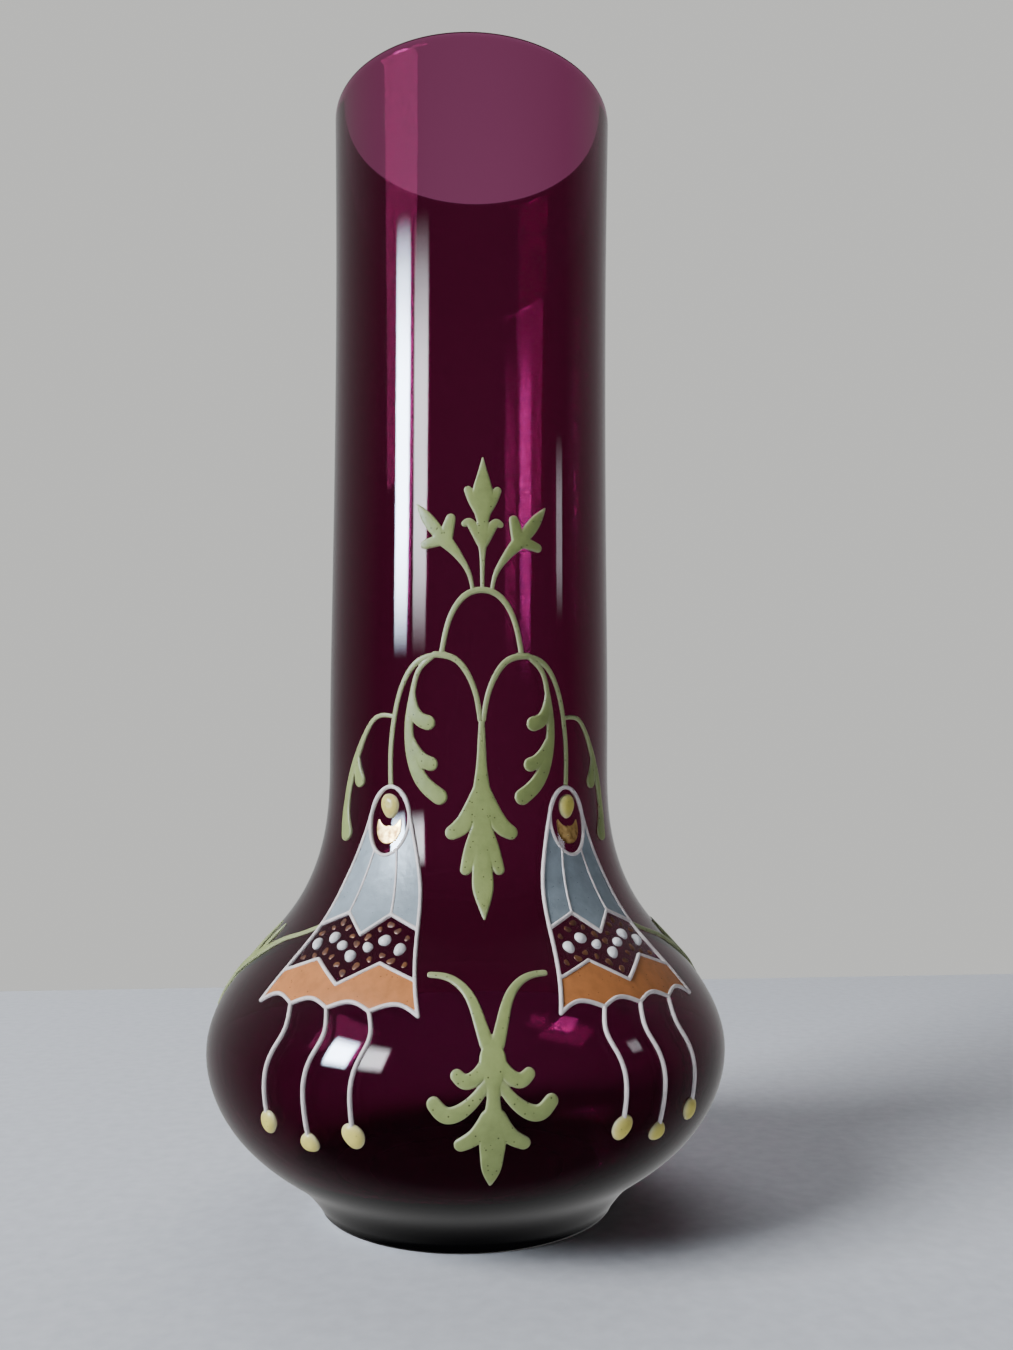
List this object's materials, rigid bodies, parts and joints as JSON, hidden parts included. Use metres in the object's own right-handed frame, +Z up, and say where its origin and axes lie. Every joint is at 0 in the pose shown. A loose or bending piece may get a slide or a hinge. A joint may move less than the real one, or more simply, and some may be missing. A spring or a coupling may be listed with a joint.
{
  "type": "vase",
  "caption": "Tall blown amethyst glass vase with a squat bulb, a wide straight neck and raised enamel flowers, arches and leaves; holds cut flowers.",
  "frame": {"origin": "centre of the base, on the surface the vase stands on", "axes": "+Z up along the vase's axis, -Y towards the front panel, +X to its right"},
  "size_m": [0.1062, 0.1067, 0.24],
  "materials": {
    "amethyst_glass": "clear, fire polished",
    "green_enamel": "glossy raised enamel",
    "white_enamel": "glossy raised enamel",
    "pale_blue_enamel": "glossy flat enamel",
    "orange_enamel": "glossy flat enamel",
    "pearl_enamel": "glossy raised enamel",
    "yellow_enamel": "glossy raised enamel",
    "gilding": "polished, worn"
  },
  "bodies": {
    "root": {"glass_body": "amethyst_glass", "crown": "green_enamel", "left_arch": "green_enamel", "left_bell_blue_panels": "pale_blue_enamel", "left_bell_eye_bead": "yellow_enamel", "left_bell_gilt_crescent": "gilding", "left_bell_gilt_dots": "gilding", "left_bell_orange_hem": "orange_enamel", "left_bell_outline": "white_enamel", "left_bell_pearls": "pearl_enamel", "left_bell_tassel_beads": "yellow_enamel", "left_bell_tassels": "white_enamel", "left_leaf": "green_enamel", "left_sprig": "green_enamel", "lower_sprig": "green_enamel", "pendant": "green_enamel", "right_arch": "green_enamel", "right_bell_blue_panels": "pale_blue_enamel", "right_bell_eye_bead": "yellow_enamel", "right_bell_gilt_crescent": "gilding", "right_bell_gilt_dots": "gilding", "right_bell_orange_hem": "orange_enamel", "right_bell_outline": "white_enamel", "right_bell_pearls": "pearl_enamel", "right_bell_tassel_beads": "yellow_enamel", "right_bell_tassels": "white_enamel", "right_leaf": "green_enamel", "right_sprig": "green_enamel", "upper_arch": "green_enamel"}
  },
  "joints": []
}
